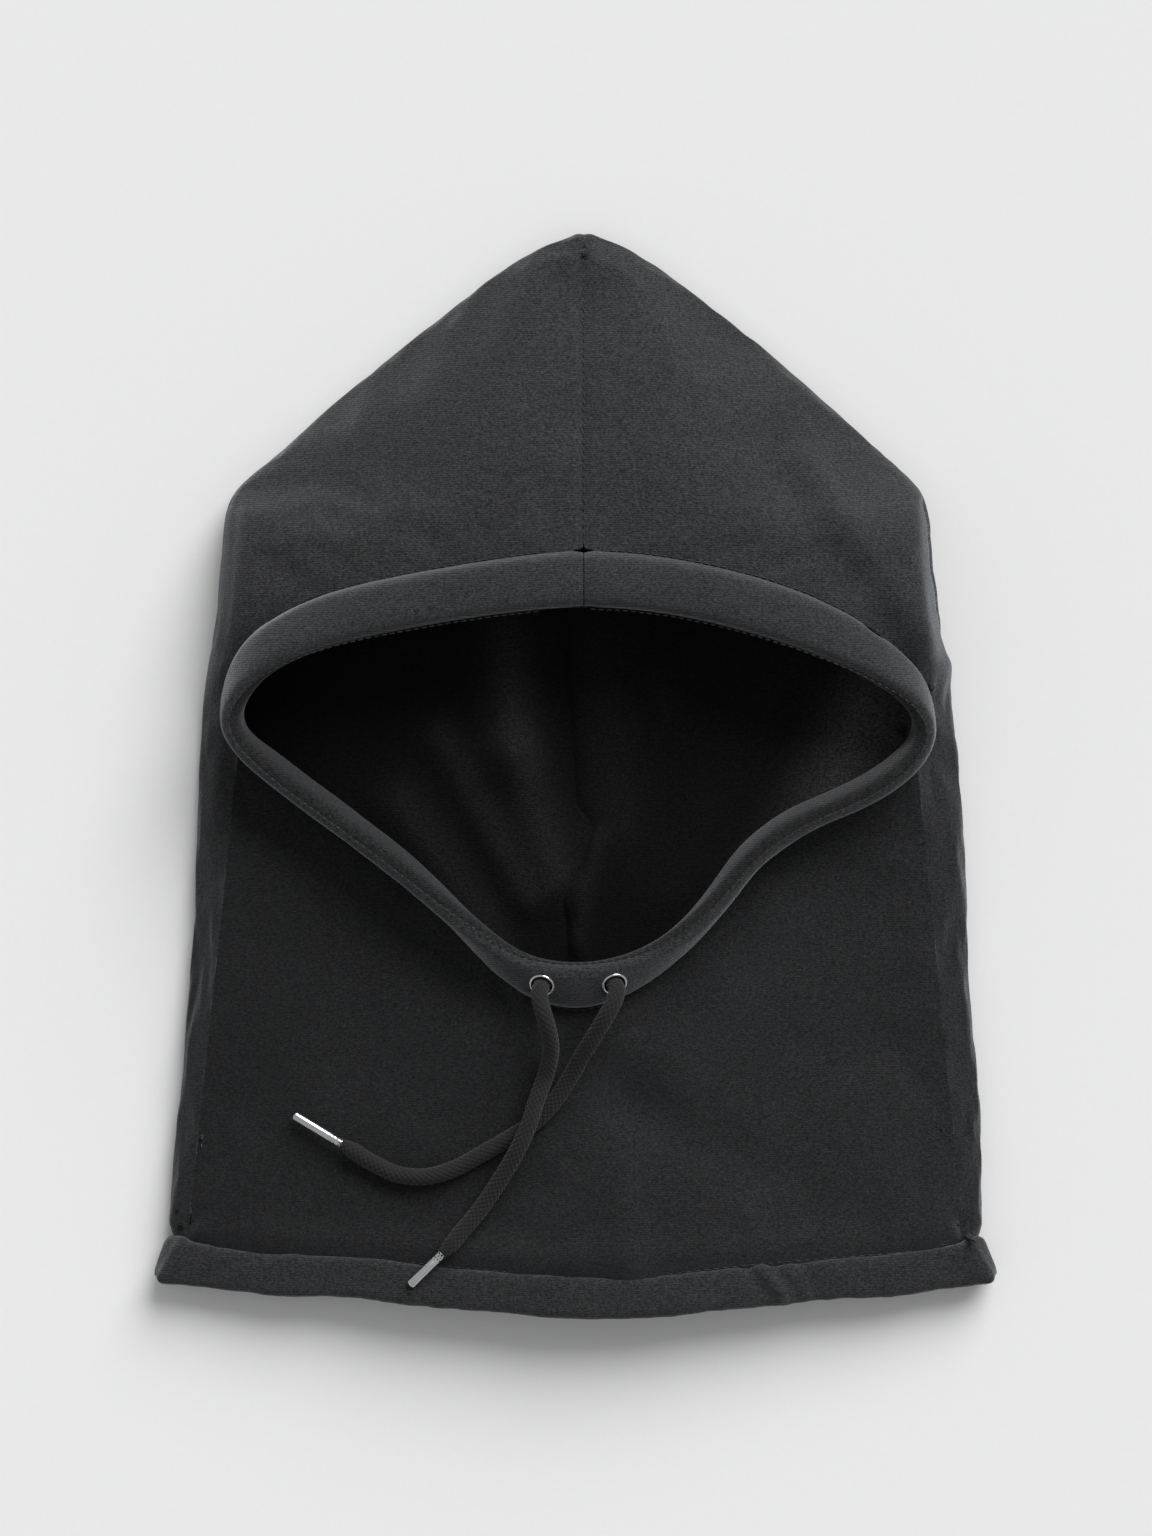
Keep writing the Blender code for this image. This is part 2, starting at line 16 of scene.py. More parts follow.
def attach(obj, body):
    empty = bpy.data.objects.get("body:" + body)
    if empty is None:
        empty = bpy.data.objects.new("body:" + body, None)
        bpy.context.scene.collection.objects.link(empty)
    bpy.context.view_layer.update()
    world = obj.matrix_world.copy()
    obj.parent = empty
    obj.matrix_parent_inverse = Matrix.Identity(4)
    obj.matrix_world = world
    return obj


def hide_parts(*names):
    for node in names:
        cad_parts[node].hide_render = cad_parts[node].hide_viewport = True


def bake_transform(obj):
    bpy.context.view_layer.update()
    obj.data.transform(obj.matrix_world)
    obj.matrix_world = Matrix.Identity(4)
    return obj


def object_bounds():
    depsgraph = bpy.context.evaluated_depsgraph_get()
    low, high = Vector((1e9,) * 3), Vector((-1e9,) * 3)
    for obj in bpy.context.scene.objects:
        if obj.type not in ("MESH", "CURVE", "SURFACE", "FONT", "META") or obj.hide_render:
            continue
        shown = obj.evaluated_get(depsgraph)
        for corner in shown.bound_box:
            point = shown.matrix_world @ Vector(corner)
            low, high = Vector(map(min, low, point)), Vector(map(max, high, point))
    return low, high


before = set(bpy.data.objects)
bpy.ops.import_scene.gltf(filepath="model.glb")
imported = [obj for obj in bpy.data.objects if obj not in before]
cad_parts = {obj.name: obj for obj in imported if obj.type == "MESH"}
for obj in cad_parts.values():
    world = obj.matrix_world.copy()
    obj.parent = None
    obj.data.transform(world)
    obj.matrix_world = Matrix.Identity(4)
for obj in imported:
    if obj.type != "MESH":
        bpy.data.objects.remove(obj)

CAD_LOW, CAD_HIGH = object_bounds()

# Camera and floor
VIEW_HEIGHT = 0.6144     # what the picture's height covers at the object
LENS = 110.0
SENSOR = 36.0
VIEW_SHIFT = 0.0016      # the middle of the picture is this far above the middle of the object
FLOOR_REACH = 4.0
FLOOR_DROP = 0.0004      # the floor is this far below the object

# Fabric
SHELL = 0.0020
LINING = 0.0010
CASING = 0.0015
FACING = 0.0012

LINING_GAP = SHELL + LINING + 0.0003    # how far a lining's inner side stays from the shell's outer side
LONGEST_CELL = 0.026     # the CAD sheets' cells before they are smoothed
SHARP = math.radians(45) # a CAD sheet's two sides end where it turns by more than this

# Seams
FOREHEAD_X = 0.0032      # the seam in the middle of the forehead
SEAM_REACH = 0.014       # how far a panel looks for the edge that it is sewn to
SAME_CORNER = 1.5        # edges this many times as far as the nearest one still meet at its corner
FREE_ROLL = 0.001        # width of the roll at an edge that is sewn to nothing
HEM_LINE = -0.1765       # borders below this are sewn into the hem
HEM_ROLL = 0.005         # width of the roll at the hem, and how far down and in the borders are tucked
HEM_TUCK = np.array([0.0, -0.0032, 0.0])
HEM_TUCK_IN = 0.0018
EYELET_HOLE = 0.0075     # a border nearer than this to an eyelet's middle is the hole for it
INSIDE_REACH = 0.02      # how far a lining looks for the shell that it has to stay inside
HELD_EDGE = 0.008        # a lining moves less than it could within this distance of its edge
OPENING_FOOT = 0.47      # share of the length, from the hem, above which a lining's edge stays in place

# Cord
CORD = 0.0065
BRAID_DEPTH = 0.00055    # how far the strands stand out
BRAID_CELL = 0.0012      # half the length of one crossing along the cord
BRAID_STRANDS = 9        # strands that wind each way
CORD_SIDES = 72
CORD_STEP = 0.00024
AGLET_R = 0.0019
AGLET_WALL = 0.00025
CORD_IN_AGLET = 0.0035   # how far a cord goes into its aglet
CORD_TAPER = 0.0095      # length over which it narrows to fit

# Eyelets
EYELET_HOLE_R = 0.0040
EYELET_R = 0.0052
EYELET_DEPTH = 0.0013
DOME_FOOT = 0.00035      # where the domed flange starts and how high it rises above that
DOME_RISE = 0.0006

# Stitches
THREAD_R = 0.00030
STITCH_POINTS = 8        # points of the line for each stitch and the gap after it
STITCH_SIDES = 6


# ---------------------------------------------------------------- camera, floor and light

def make_camera():
    centre = (CAD_LOW + CAD_HIGH) / 2
    data = bpy.data.cameras.new("camera")
    data.lens = LENS
    data.sensor_width = SENSOR
    camera = bpy.data.objects.new("camera", data)
    bpy.context.scene.collection.objects.link(camera)
    distance = VIEW_HEIGHT * LENS / SENSOR
    camera.location = (centre.x, centre.y + VIEW_SHIFT, centre.z + distance)
    bpy.context.scene.camera = camera


def sun_light(name, towards, power, softness):
    """Even light from one direction; softness is the angle the source fills, in degrees."""
    data = bpy.data.lights.new(name, "SUN")
    data.energy = power
    data.angle = math.radians(softness)
    light = bpy.data.objects.new(name, data)
    light.rotation_euler = (-Vector(towards)).to_track_quat("-Z", "Y").to_euler()
    bpy.context.scene.collection.objects.link(light)


def make_studio():
    bpy.context.scene.view_settings.view_transform = "Standard"
    world = bpy.data.worlds.new("studio")
    bpy.context.scene.world = world
    world.use_nodes = True
    background = world.node_tree.nodes["Background"]
    background.inputs["Color"].default_value = (0.99, 0.995, 1.0, 1)
    background.inputs["Strength"].default_value = 0.41
    sun_light("key", (0.42, 0.80, 0.62), 3.4, 44)
    mesh = bpy.data.meshes.new("floor")
    low = CAD_LOW.z - FLOOR_DROP
    corners = [(x * FLOOR_REACH, y * FLOOR_REACH, low) for x, y in ((-1, -1), (1, -1), (1, 1), (-1, 1))]
    mesh.from_pydata(corners, [], [(0, 1, 2, 3)])
    floor = bpy.data.objects.new("floor", mesh)
    bpy.context.scene.collection.objects.link(floor)
    mesh.materials.append(floor_look())


# ---------------------------------------------------------------- materials

def new_look(name):
    look = bpy.data.materials.new(name)
    look.use_nodes = True
    return look, look.node_tree.nodes, look.node_tree.links


def set_shader(nodes, **values):
    shader = nodes["Principled BSDF"]
    for name, value in values.items():
        shader.inputs[name.replace("_", " ")].default_value = value
    return shader


def noise_node(nodes, links, coords, scale, detail, roughness=0.5):
    made = nodes.new("ShaderNodeTexNoise")
    made.inputs["Scale"].default_value = scale
    made.inputs["Detail"].default_value = detail
    made.inputs["Roughness"].default_value = roughness
    links.new(coords, made.inputs["Vector"])
    return made.outputs["Fac"]


def math_node(nodes, links, operation, first, second):
    made = nodes.new("ShaderNodeMath")
    made.operation = operation
    for socket, value in zip(made.inputs, (first, second)):
        if isinstance(value, (int, float)):
            socket.default_value = value
        else:
            links.new(value, socket)
    return made.outputs[0]


def stretched(nodes, links, scale):
    """Object coordinates, scaled per axis: pieces sit at the origin, so these are metres."""
    coords = nodes.new("ShaderNodeTexCoord")
    mapping = nodes.new("ShaderNodeMapping")
    mapping.inputs["Scale"].default_value = scale
    links.new(coords.outputs["Object"], mapping.inputs["Vector"])
    return mapping.outputs["Vector"]


def range_node(nodes, links, value, low, high, to_low, to_high):
    made = nodes.new("ShaderNodeMapRange")
    made.inputs["From Min"].default_value = low
    made.inputs["From Max"].default_value = high
    made.inputs["To Min"].default_value = to_low
    made.inputs["To Max"].default_value = to_high
    links.new(value, made.inputs["Value"])
    return made.outputs["Result"]


def tinted(nodes, links, colour, factor):
    """The colour times a varying factor."""
    made = nodes.new("ShaderNodeVectorMath")
    made.operation = "SCALE"
    made.inputs[0].default_value = colour
    links.new(factor, made.inputs["Scale"])
    return made.outputs[0]


def bump(nodes, links, height, strength, distance):
    made = nodes.new("ShaderNodeBump")
    made.inputs["Strength"].default_value = strength
    made.inputs["Distance"].default_value = distance
    links.new(height, made.inputs["Height"])
    return made.outputs["Normal"]


def floor_look():
    look, nodes, links = new_look("studio_floor")
    shader = set_shader(nodes, Base_Color=(0.80, 0.80, 0.80, 1), Roughness=0.9, Specular_IOR_Level=0.1)
    plain = stretched(nodes, links, (1, 1, 1))
    grain = range_node(nodes, links, noise_node(nodes, links, plain, 400, 2), 0, 1, 0.79, 0.81)
    links.new(tinted(nodes, links, (1, 1, 1), grain), shader.inputs["Base Color"])
    return look


def fleece_look(name, colour, wale=0.0009, sheen=0.35, painted_shading=()):
    """Brushed cotton fleece: fine wales, heathered fibres and a soft nap.

    Each painted light-and-shade entry is an axis, where along it the tone changes, and the tone's factors
    there: it paints light and shade into the colour.
    """
    look, nodes, links = new_look(name)
    shader = set_shader(nodes, Roughness=0.95, Specular_IOR_Level=0.12, Sheen_Weight=sheen,
                        Sheen_Roughness=0.45, Sheen_Tint=(0.90, 0.95, 1.0, 1))
    plain = stretched(nodes, links, (1, 1, 1))
    heather = noise_node(nodes, links, stretched(nodes, links, (0.7, 1.0, 1.0)), 1250, 3, 0.8)
    fuzz = noise_node(nodes, links, plain, 460, 4, 0.7)
    clouds = noise_node(nodes, links, plain, 28, 3, 0.55)
    waves = nodes.new("ShaderNodeTexWave")
    waves.bands_direction = "Y"
    waves.inputs["Scale"].default_value = math.pi / (10 * wale)
    waves.inputs["Distortion"].default_value = 2.4
    waves.inputs["Detail"].default_value = 2
    waves.inputs["Detail Scale"].default_value = 0.8
    links.new(plain, waves.inputs["Vector"])
    ribs = waves.outputs["Fac"]
    tone = range_node(nodes, links, heather, 0.36, 0.64, 0.35, 1.8)
    tone = math_node(nodes, links, "MULTIPLY", tone, range_node(nodes, links, fuzz, 0.3, 0.7, 0.78, 1.22))
    tone = math_node(nodes, links, "MULTIPLY", tone, range_node(nodes, links, clouds, 0.3, 0.7, 0.93, 1.07))
    tone = math_node(nodes, links, "MULTIPLY", tone, range_node(nodes, links, ribs, 0, 1, 0.84, 1.14))
    # Painted light and shade: the tone changes along an axis.
    for axis, start, end, first, last in painted_shading:
        split = nodes.new("ShaderNodeSeparateXYZ")
        links.new(plain, split.inputs[0])
        painted_tone = range_node(nodes, links, split.outputs[axis], start, end, first, last)
        tone = math_node(nodes, links, "MULTIPLY", tone, painted_tone)
    links.new(tinted(nodes, links, colour, tone), shader.inputs["Base Color"])
    height = math_node(nodes, links, "MULTIPLY", ribs, 0.25)
    height = math_node(nodes, links, "ADD", height, math_node(nodes, links, "MULTIPLY", fuzz, 1.2))
    height = math_node(nodes, links, "ADD", height, heather)
    links.new(bump(nodes, links, height, 0.6, 0.0006), shader.inputs["Normal"])
    return look


def braid_look():
    look, nodes, links = new_look("braided_cotton_cord")
    shader = set_shader(nodes, Roughness=0.9, Specular_IOR_Level=0.15, Sheen_Weight=0.3,
                        Sheen_Roughness=0.4, Sheen_Tint=(0.8, 0.8, 0.8, 1))
    plain = stretched(nodes, links, (1, 1, 1))
    fibres = noise_node(nodes, links, plain, 2600, 3, 0.6)
    worn = noise_node(nodes, links, plain, 90, 2)
    tone = range_node(nodes, links, fibres, 0.3, 0.7, 0.6, 1.4)
    tone = math_node(nodes, links, "MULTIPLY", tone, range_node(nodes, links, worn, 0.3, 0.7, 0.9, 1.1))
    links.new(tinted(nodes, links, (0.018, 0.018, 0.0185), tone), shader.inputs["Base Color"])
    links.new(bump(nodes, links, fibres, 0.5, 0.0002), shader.inputs["Normal"])
    return look


def thread_look():
    look, nodes, links = new_look("polyester_thread")
    shader = set_shader(nodes, Roughness=0.5, Specular_IOR_Level=0.4, Sheen_Weight=0.2,
                        Sheen_Roughness=0.3, Sheen_Tint=(0.8, 0.8, 0.8, 1))
    plies = noise_node(nodes, links, stretched(nodes, links, (1, 1, 1)), 3000, 2)
    tone = range_node(nodes, links, plies, 0.3, 0.7, 0.7, 1.4)
    links.new(tinted(nodes, links, (0.014, 0.014, 0.015), tone), shader.inputs["Base Color"])
    links.new(bump(nodes, links, plies, 0.4, 0.0001), shader.inputs["Normal"])
    return look


def gunmetal_look():
    look, nodes, links = new_look("polished_gunmetal")
    shader = set_shader(nodes, Base_Color=(0.62, 0.62, 0.63, 1), Metallic=1.0, Roughness=0.18)
    plain = stretched(nodes, links, (1, 1, 1))
    smears = noise_node(nodes, links, plain, 300, 3)
    scratches = noise_node(nodes, links, stretched(nodes, links, (1, 6, 1)), 900, 2)
    links.new(range_node(nodes, links, smears, 0.3, 0.7, 0.13, 0.26), shader.inputs["Roughness"])
    tone = range_node(nodes, links, smears, 0.3, 0.7, 0.92, 1.05)
    links.new(tinted(nodes, links, (0.66, 0.66, 0.67), tone), shader.inputs["Base Color"])
    links.new(bump(nodes, links, scratches, 0.05, 0.00005), shader.inputs["Normal"])
    return look


# ---------------------------------------------------------------- mesh helpers

def new_piece(name, mesh, look):
    piece = bpy.data.objects.new(name, mesh)
    bpy.context.scene.collection.objects.link(piece)
    mesh.materials.clear()
    mesh.materials.append(look)
    for face in mesh.polygons:
        face.use_smooth = True
    return piece


def coords_of(piece):
    flat = np.zeros(len(piece.data.vertices) * 3)
    piece.data.vertices.foreach_get("co", flat)
    return flat.reshape(-1, 3)


def normals_of(piece):
    flat = np.zeros(len(piece.data.vertices) * 3)
    piece.data.vertices.foreach_get("normal", flat)
    return flat.reshape(-1, 3)


def set_coords(piece, coords):
    piece.data.vertices.foreach_set("co", np.asarray(coords, float).ravel())
    piece.data.update()


def apply_modifiers(piece):
    bpy.context.view_layer.update()
    graph = bpy.context.evaluated_depsgraph_get()
    mesh = bpy.data.meshes.new_from_object(piece.evaluated_get(graph), depsgraph=graph)
    old = piece.data
    piece.modifiers.clear()
    piece.data = mesh
    bpy.data.meshes.remove(old)
    for face in mesh.polygons:
        face.use_smooth = True


def subdivide(piece, levels):
    step = piece.modifiers.new("subdivide", "SUBSURF")
    step.levels = levels
    step.render_levels = levels
    step.boundary_smooth = "PRESERVE_CORNERS"
    apply_modifiers(piece)


def thicken(piece, thickness):
    """Give an open skin its thickness inwards, with flat cut edges."""
    first_cut = 2 * len(piece.data.polygons)
    solid = piece.modifiers.new("thickness", "SOLIDIFY")
    solid.thickness = thickness
    solid.offset = -1
    solid.use_even_offset = False
    apply_modifiers(piece)
    for face in piece.data.polygons[first_cut:]:
        face.use_smooth = False


def welded(node):
    """A CAD node's mesh, with its points joined across its faces."""
    mesh = bmesh.new()
    mesh.from_mesh(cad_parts[node].data)
    bmesh.ops.remove_doubles(mesh, verts=mesh.verts, dist=1e-6)
    return mesh


def regions(mesh, corner):
    """The faces in groups that meet at less than the corner angle."""
    left = set(mesh.faces)
    found = []
    while left:
        stack = [left.pop()]
        group = []
        while stack:
            face = stack.pop()
            group.append(face)
            for edge in face.edges:
                if len(edge.link_faces) == 2 and edge.calc_face_angle(0) < corner:
                    near = [other for other in edge.link_faces if other in left]
                    left.difference_update(near)
                    stack.extend(near)
        found.append(group)
    return found


def size_of(group):
    return sum(face.calc_area() for face in group)


def quads_from(mesh):
    """Join the CAD's triangles, so that the subdivision smooths them evenly."""
    turn = math.radians(60)
    bmesh.ops.join_triangles(mesh, faces=mesh.faces, angle_face_threshold=turn, angle_shape_threshold=turn)


def split_long_edges(mesh, limit):
    """Break up the CAD's large flat faces, so that the whole sheet has cells of a like size."""
    while True:
        long_edges = [edge for edge in mesh.edges if edge.calc_length() > limit]
        if not long_edges:
            return
        bmesh.ops.subdivide_edges(mesh, edges=long_edges, cuts=1)
        uneven = [face for face in mesh.faces if len(face.verts) > 4]
        made = bmesh.ops.triangulate(mesh, faces=uneven, quad_method="BEAUTY", ngon_method="BEAUTY")
        bmesh.ops.beautify_fill(mesh, faces=made["faces"], edges=made["edges"])


def upwardness(group):
    """How much of the group's area looks up."""
    return sum(face.normal.z * face.calc_area() for face in group)


def skin(node, name, look, side):
    """One side of a CAD sheet as an open mesh.

    side is larger or smaller for a wrapped sheet, and upper or lower for a flat one.
    """
    mesh = welded(node)
    quads_from(mesh)
    groups = sorted(regions(mesh, SHARP), key=size_of, reverse=True)[:2]
    if side in ("upper", "lower"):
        groups.sort(key=upwardness, reverse=True)
    kept = set(groups[side in ("smaller", "lower")])
    bmesh.ops.delete(mesh, geom=[face for face in mesh.faces if face not in kept], context="FACES")
    split_long_edges(mesh, LONGEST_CELL)
    made = bpy.data.meshes.new(name)
    mesh.to_mesh(made)
    mesh.free()
    return new_piece(name, made, look)


def border_points(piece, clear_of=()):
    """Indices of the open border's points, leaving out the eyelets' holes near the given places."""
    mesh = bmesh.new()
    mesh.from_mesh(piece.data)
    found = [v.index for v in mesh.verts if v.is_boundary]
    coords = {v.index: v.co.copy() for v in mesh.verts}
    mesh.free()
    return [i for i in found if all((coords[i] - Vector(place)).length > EYELET_HOLE for place in clear_of)]


def border_distance(piece, border):
    """How far the open border is from every point."""
    coords = coords_of(piece)
    tree = KDTree(len(border))
    for place, index in enumerate(border):
        tree.insert(coords[index], place)
    tree.balance()
    return np.array([tree.find(point)[2] for point in coords])


def edge_name(piece, point):
    """Which edge a border point belongs to: a band round the opening meets itself at the forehead."""
    if piece.name.endswith("_band") and point[1] > 0:
        return piece.name + ("_left" if point[0] < FOREHEAD_X else "_right")
    return piece.name


def border_tree(pieces, clear_of=()):
    """Search tree of all the pieces' open borders, each point's edge name and its normal."""
    names = []
    points = []
    normals = []
    for piece in pieces:
        border = border_points(piece, clear_of)
        for point, normal in zip(coords_of(piece)[border], normals_of(piece)[border]):
            names.append(edge_name(piece, point))
            points.append(point)
            normals.append(normal)
    tree = KDTree(len(points))
    for index, point in enumerate(points):
        tree.insert(point, index)
    tree.balance()
    return tree, names, normals


def seam_pair(first, second):
    """The pair's key in a table of seams; the two ends of one band have a key of their own."""
    if first == second:
        return None
    bare = [name.removesuffix("_left").removesuffix("_right") for name in (first, second)]
    return frozenset(bare)


def close_seams(pieces, rules, clear_of=()):
    """Roll every panel's edge down into the seam, to the middle of all the edges that meet there.

    rules gives (roll width, depth, pull) for a pair of pieces.  The pull fades with the distance
    between the edges: one below 1 leaves a fine gap, and one above 1 closes wider gaps too.
    The lowest borders are tucked into the hem, and other borders stay as they are.
    """
    tree, owners, border_normals = border_tree(pieces, clear_of)
    moves = []
    for piece in pieces:
        coords = coords_of(piece)
        normals = normals_of(piece)
        border = border_points(piece, clear_of)
        rolls = []
        for index in border:
            own_edge = edge_name(piece, coords[index])
            nearest = {}
            for place, other, distance in tree.find_range(coords[index], SEAM_REACH):
                pair = seam_pair(own_edge, owners[other])
                if pair in rules and distance < nearest.get(owners[other], (SEAM_REACH,))[0]:
                    nearest[owners[other]] = (distance, other, place, pair)
            if nearest:
                closest = min(nearest.values(), key=lambda found: found[0])
                corner = SAME_CORNER * closest[0] + 1e-6
                meeting = [found for found in nearest.values() if found[0] < corner]
                place = np.mean([coords[index]] + [np.array(found[2]) for found in meeting], axis=0)
                down = -np.mean([normals[index]] + [border_normals[found[1]] for found in meeting], axis=0)
                down /= max(np.linalg.norm(down), 1e-6)
                width, depth, pull = rules[closest[3]]
                pull = min(1.0, pull * (1 - (closest[0] / SEAM_REACH) ** 2))
                shift = (place - coords[index]) * pull + down * depth
            else:
                width, shift = FREE_ROLL, np.zeros(3)
            if coords[index][1] < HEM_LINE:
                width, shift = HEM_ROLL, shift + HEM_TUCK - normals[index] * HEM_TUCK_IN
            rolls.append((shift, width))
        own = KDTree(len(border))
        for place, index in enumerate(border):
            own.insert(coords[index], place)
        own.balance()
        moved = coords.copy()
        for index, point in enumerate(coords):
            _, place, distance = own.find(point)
            shift, width = rolls[place]
            moved[index] += shift * max(0.0, 1 - distance / width) ** 2
        moves.append((piece, moved))
    for piece, moved in moves:
        set_coords(piece, moved)


def relax(piece, rounds, shrink=0.5, grow=-0.53):
    """Even out the mesh, leaving its border where it is.

    A negative grow takes back what each round shrinks, and a positive one smooths a second time.
    """
    coords = coords_of(piece)
    edges = np.array([e.vertices[:] for e in piece.data.edges])
    fixed = np.zeros(len(coords), bool)
    fixed[border_points(piece)] = True
    for factor in (shrink, grow) * rounds:
        total = np.zeros_like(coords)
        count = np.zeros(len(coords))
        for a, b in ((0, 1), (1, 0)):
            np.add.at(total, edges[:, a], coords[edges[:, b]])
            np.add.at(count, edges[:, a], 1)
        middle = total / np.maximum(count, 1)[:, None]
        coords = np.where(fixed[:, None], coords, coords + factor * (middle - coords))
    set_coords(piece, coords)


def surface_tree(pieces):
    """Search tree of the pieces' surfaces."""
    points = []
    faces = []
    for piece in pieces:
        first = len(points)
        points.extend(Vector(point) for point in coords_of(piece))
        faces.extend([first + i for i in face.vertices] for face in piece.data.polygons)
    return BVHTree.FromPolygons(points, faces)


def keep_inside(piece, surface, gap):
    """Move the points that come nearer than the gap to the surface, or pass it, back behind it.

    The edge round the face opening stays where it is, and the edges beside the neck front move too.
    """
    coords = coords_of(piece)
    share = np.clip(border_distance(piece, border_points(piece)) / HELD_EDGE, 0, 1)
    share[coords[:, 1] < spot_v(OPENING_FOOT)] = 1
    for index, point in enumerate(coords):
        place, normal, _, distance = surface.find_nearest(Vector(point), INSIDE_REACH)
        if place is not None:
            behind = (place - Vector(point)).dot(normal)
            if behind < gap and distance < 3 * gap:
                coords[index] = point - np.array(normal) * (gap - behind) * share[index]
    set_coords(piece, coords)


def settle(piece, pressure, swell, cap, frames=20):
    """Let the panel settle as cloth between its seams, moving no point by more than the cap."""
    start = coords_of(piece)
    pinned = set(border_points(piece))
    pinned.update(np.where(off_the_floor(normals_of(piece)) < 1)[0])
    group = piece.vertex_groups.new(name="seams")
    group.add([int(i) for i in pinned], 1.0, "REPLACE")
    cloth = piece.modifiers.new("cloth", "CLOTH")
    rules = cloth.settings
    rules.quality = 6
    rules.mass = 0.3
    rules.tension_stiffness = 25
    rules.compression_stiffness = 25
    rules.shear_stiffness = 12
    rules.bending_stiffness = 6
    rules.vertex_group_mass = "seams"
    rules.shrink_min = -swell
    rules.use_pressure = True
    rules.uniform_pressure_force = pressure
    rules.effector_weights.gravity = 0
    cloth.collision_settings.use_collision = False
    cloth.point_cache.frame_start = 1
    cloth.point_cache.frame_end = frames
    for step in range(1, frames + 1):
        bpy.context.scene.frame_set(step)
    apply_modifiers(piece)
    piece.vertex_groups.clear()
    bpy.context.scene.frame_set(1)
    moved = coords_of(piece) - start
    far = np.linalg.norm(moved, axis=1)
    moved *= np.minimum(1, cap / np.maximum(far, 1e-9))[:, None]
    set_coords(piece, start + moved)


def spot(u, v):
    """A place on the object: shares of its width and length, from the hem's left end."""
    return np.array([spot_u(u), spot_v(v)])


def spot_u(shares):
    """Places across the object: 0 at the left edge of its box, 1 at the right."""
    return CAD_LOW.x + np.asarray(shares) * (CAD_HIGH.x - CAD_LOW.x)


def spot_v(shares):
    """Places up the object: 0 at the hem, 1 at the crown's point."""
    return CAD_LOW.y + np.asarray(shares) * (CAD_HIGH.y - CAD_LOW.y)


def off_the_floor(normals):
    """0 where the fabric faces the floor that it lies flat on, 1 elsewhere."""
    return np.clip((normals[:, 2] + 0.7) / 0.4, 0, 1)


def rest_on_floor(piece):
    """Lay the fabric that dips below the CAD's lowest level flat on it."""
    coords = coords_of(piece)
    coords[:, 2] = np.maximum(coords[:, 2], CAD_LOW.z)
    set_coords(piece, coords)


def sculpt(piece, marks):
    """Soft ridges and dents along the panel's normals: (from, to, half width, height) each."""
    coords = coords_of(piece)
    normals = normals_of(piece)
    front = normals[:, 2] > 0
    total = np.zeros(len(coords))
    for start, end, width, height in marks:
        start = spot(*start)
        way = spot(*end) - start
        along = np.clip((coords[:, :2] - start) @ way / (way @ way), 0, 1)
        off = np.linalg.norm(coords[:, :2] - start - along[:, None] * way, axis=1)
        total += height * np.exp(-(off / width) ** 2) * front
    set_coords(piece, coords + normals * total[:, None])


def ripple(piece, size, height, seed, hold=0.006, lift=0.0):
    """Gentle unevenness of soft fabric, fading out at the seams; a lift of 1 only raises it."""
    coords = coords_of(piece)
    normals = normals_of(piece)
    fade = off_the_floor(normals)
    if hold:
        fade = fade * np.clip(border_distance(piece, border_points(piece)) / hold, 0, 1)
    offset = Vector((seed * 1.7, seed * 2.3, seed * 0.9))
    amount = np.array([lift + noise.noise(Vector(p) / size + offset) for p in coords])
    set_coords(piece, coords + normals * (amount * fade * height)[:, None])


# ---------------------------------------------------------------- lines and cords

def smooth_line(points, step):
    """Even points along a centripetal Catmull-Rom curve through the given ones."""
    points = np.asarray(points, float)
    padded = np.vstack([2 * points[0] - points[1], points, 2 * points[-1] - points[-2]])
    line = []
    for p0, p1, p2, p3 in zip(padded, padded[1:], padded[2:], padded[3:]):
        t1 = np.linalg.norm(p1 - p0) ** 0.5
        t2 = t1 + np.linalg.norm(p2 - p1) ** 0.5
        t3 = t2 + np.linalg.norm(p3 - p2) ** 0.5
        for t in np.linspace(t1, t2, 24, endpoint=False):
            a1 = (t1 - t) / t1 * p0 + t / t1 * p1
            a2 = (t2 - t) / (t2 - t1) * p1 + (t - t1) / (t2 - t1) * p2
            a3 = (t3 - t) / (t3 - t2) * p2 + (t - t2) / (t3 - t2) * p3
            b1 = (t2 - t) / t2 * a1 + t / t2 * a2
            b2 = (t3 - t) / (t3 - t1) * a2 + (t - t1) / (t3 - t1) * a3
            line.append((t2 - t) / (t2 - t1) * b1 + (t - t1) / (t2 - t1) * b2)
    line.append(points[-1])
    return evenly(np.array(line), step)


def evenly(line, step):
    """The same line with points at even distances."""
    length = np.concatenate([[0], np.cumsum(np.linalg.norm(np.diff(line, axis=0), axis=1))])
    marks = np.linspace(0, length[-1], max(2, round(length[-1] / step) + 1))
    return np.stack([np.interp(marks, length, line[:, k]) for k in range(3)], axis=1)


def line_length(line):
    return float(np.linalg.norm(np.diff(line, axis=0), axis=1).sum())


def centreline(node):
    """Ring centres of a CAD cord or thread, from one flat end to the other."""
    mesh = welded(node)
    groups = sorted(regions(mesh, math.radians(60)), key=size_of)
    ring = {vertex for face in groups[0] for vertex in face.verts}
    seen = set(ring)
    centres = []
    while ring:
        centres.append(sum((vertex.co for vertex in ring), Vector()) / len(ring))
        ring = {edge.other_vert(vertex) for vertex in ring for edge in vertex.link_edges} - seen
        seen |= ring
    mesh.free()
    return np.array(centres)


def frames_along(line):
    """Tangents and two turning-free cross directions at every point of a line."""
    tangents = np.gradient(line, axis=0)
    tangents /= np.linalg.norm(tangents, axis=1, keepdims=True)
    first = np.cross(tangents[0], (0.31, 0.17, 0.93))
    side = first / np.linalg.norm(first)
    sides = []
    for tangent in tangents:
        side = side - tangent * (side @ tangent)
        side = side / np.linalg.norm(side)
        sides.append(side)
    sides = np.array(sides)
    return tangents, sides, np.cross(tangents, sides)


